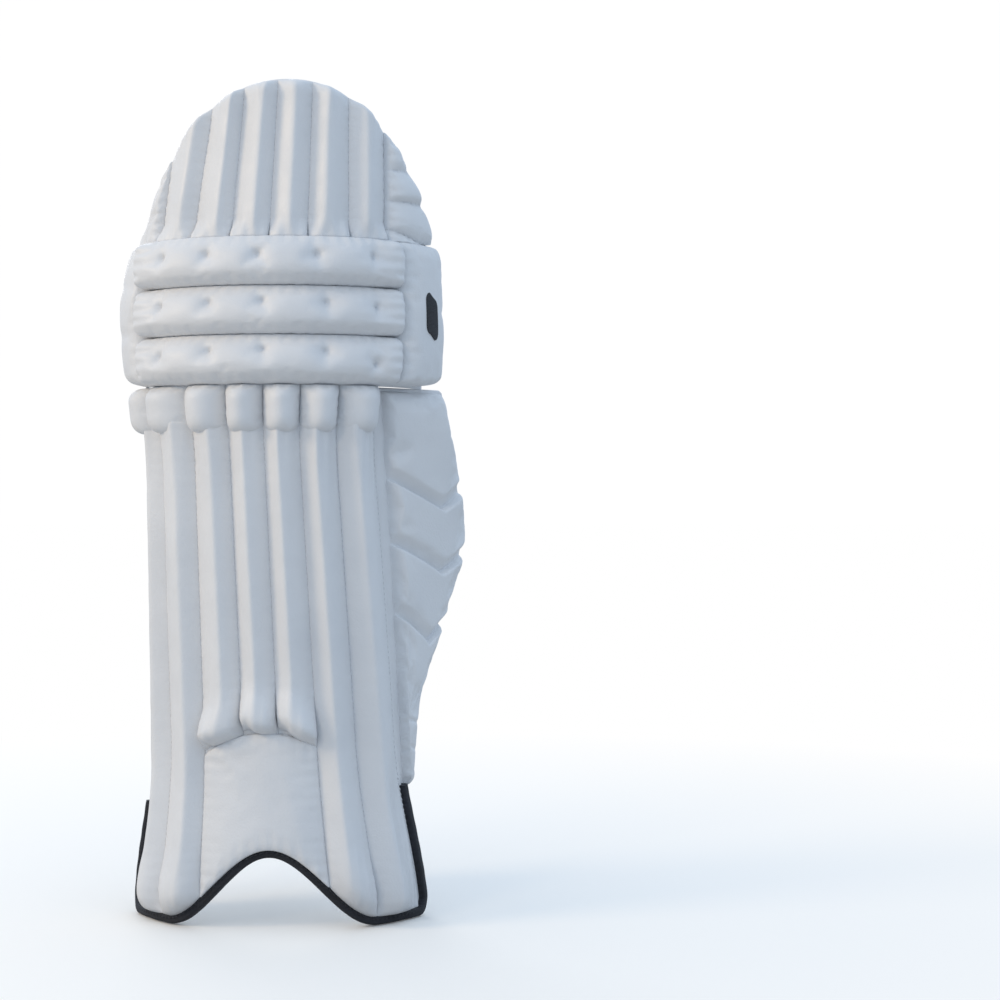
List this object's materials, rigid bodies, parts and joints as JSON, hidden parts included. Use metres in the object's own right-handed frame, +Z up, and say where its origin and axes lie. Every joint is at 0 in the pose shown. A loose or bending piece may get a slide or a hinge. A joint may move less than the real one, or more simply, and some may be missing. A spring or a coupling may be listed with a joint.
{
  "type": "cricket leg pad",
  "caption": "Batting leg pad: padded shin channels over canes, knee rolls, top hat, calf wing, arched foot and hook-and-loop straps.",
  "frame": {"origin": "centre of the bounding box, on the floor that the pad's two foot lobes stand on", "axes": "+Z up the leg, -Y towards the front face that meets the ball, +X towards the calf wing"},
  "size_m": [0.2798, 0.2026, 0.6859],
  "materials": {
    "cover": "satin white polyurethane leathercloth",
    "lining": "matt brushed knit lining",
    "foam": "matt closed-cell foam",
    "cane": "split cane",
    "binding": "black woven tape",
    "strap": "white woven webbing with hook and loop",
    "ring": "moulded white plastic"
  },
  "bodies": {
    "shin": {"shin_channel_1": "cover", "shin_channel_2": "cover", "shin_channel_3": "cover", "shin_channel_4": "cover", "shin_channel_5": "cover", "shin_channel_6": "cover", "shin_channel_7": "cover", "shin_cane_1": "cane", "shin_cane_2": "cane", "shin_cane_3": "cane", "shin_cane_4": "cane", "shin_cane_5": "cane", "shin_cane_6": "cane", "shin_cane_7": "cane", "knee_cap_1": "cover", "knee_cap_2": "cover", "knee_cap_3": "cover", "knee_cap_4": "cover", "knee_cap_5": "cover", "knee_cap_6": "cover", "knee_cap_7": "cover", "instep_panel": "cover", "shin_foam": "foam", "shin_lining": "lining", "inside_panel": "cover", "shin_bolster_left": "lining", "shin_bolster_right": "lining", "bottom_binding": "binding", "ankle_strap": "strap", "ankle_ring": "ring", "ankle_ring_tab": "strap", "calf_strap": "strap", "calf_ring": "ring", "calf_ring_tab": "strap", "knee_strap": "strap", "knee_ring": "ring", "knee_ring_tab": "strap"},
    "knee_block": {"knee_roll_1": "cover", "knee_roll_2": "cover", "knee_roll_3": "cover", "knee_side_panel_inside": "cover", "knee_side_panel_wing": "cover", "knee_foam": "foam", "knee_lining": "lining", "knee_cushion": "lining"},
    "top_hat": {"top_hat_channel_1": "cover", "top_hat_channel_2": "cover", "top_hat_channel_3": "cover", "top_hat_channel_4": "cover", "top_hat_channel_5": "cover", "top_hat_channel_6": "cover", "top_hat_side_inside": "cover", "top_hat_side_wing": "cover", "top_hat_foam": "foam", "top_hat_lining": "lining"},
    "wing": {"calf_wing": "cover", "calf_wing_lining": "lining"},
    "ankle_tail": {"ankle_strap_tail": "strap"},
    "calf_tail": {"calf_strap_tail": "strap"},
    "knee_tail": {"knee_strap_tail": "strap"}
  },
  "joints": [
    {"name": "knee_bend", "type": "hinge", "parent": "shin", "child": "knee_block", "pos_m": [-0.00625, -0.01351, 0.44], "axis": [-1, 0, 0], "range_deg": [0, 8], "stiffness_Nm_per_rad": 6},
    {"name": "top_hat_bend", "type": "hinge", "parent": "knee_block", "child": "top_hat", "pos_m": [-0.00625, -0.01351, 0.558], "axis": [-1, 0, 0], "range_deg": [0, 8], "stiffness_Nm_per_rad": 3},
    {"name": "calf_wing_fold", "type": "hinge", "parent": "shin", "child": "wing", "pos_m": [0.09652, -0.01323, 0.106], "axis": [-0.0552, -0.0826, 0.9951], "range_deg": [-35, 24], "stiffness_Nm_per_rad": 0.4},
    {"name": "ankle_strap_peel", "type": "hinge", "parent": "shin", "child": "ankle_tail", "pos_m": [-0.07524, 0.06936, 0.104], "axis": [0, 0, 1], "range_deg": [0, 100]},
    {"name": "calf_strap_peel", "type": "hinge", "parent": "shin", "child": "calf_tail", "pos_m": [-0.07524, 0.06936, 0.246], "axis": [0, 0, 1], "range_deg": [0, 100]},
    {"name": "knee_strap_peel", "type": "hinge", "parent": "shin", "child": "knee_tail", "pos_m": [-0.07524, 0.06936, 0.372], "axis": [0, 0, 1], "range_deg": [0, 100]}
  ],
  "couplings": [
    {"joint": "top_hat_bend", "follows": "knee_bend", "ratio": 1}
  ]
}
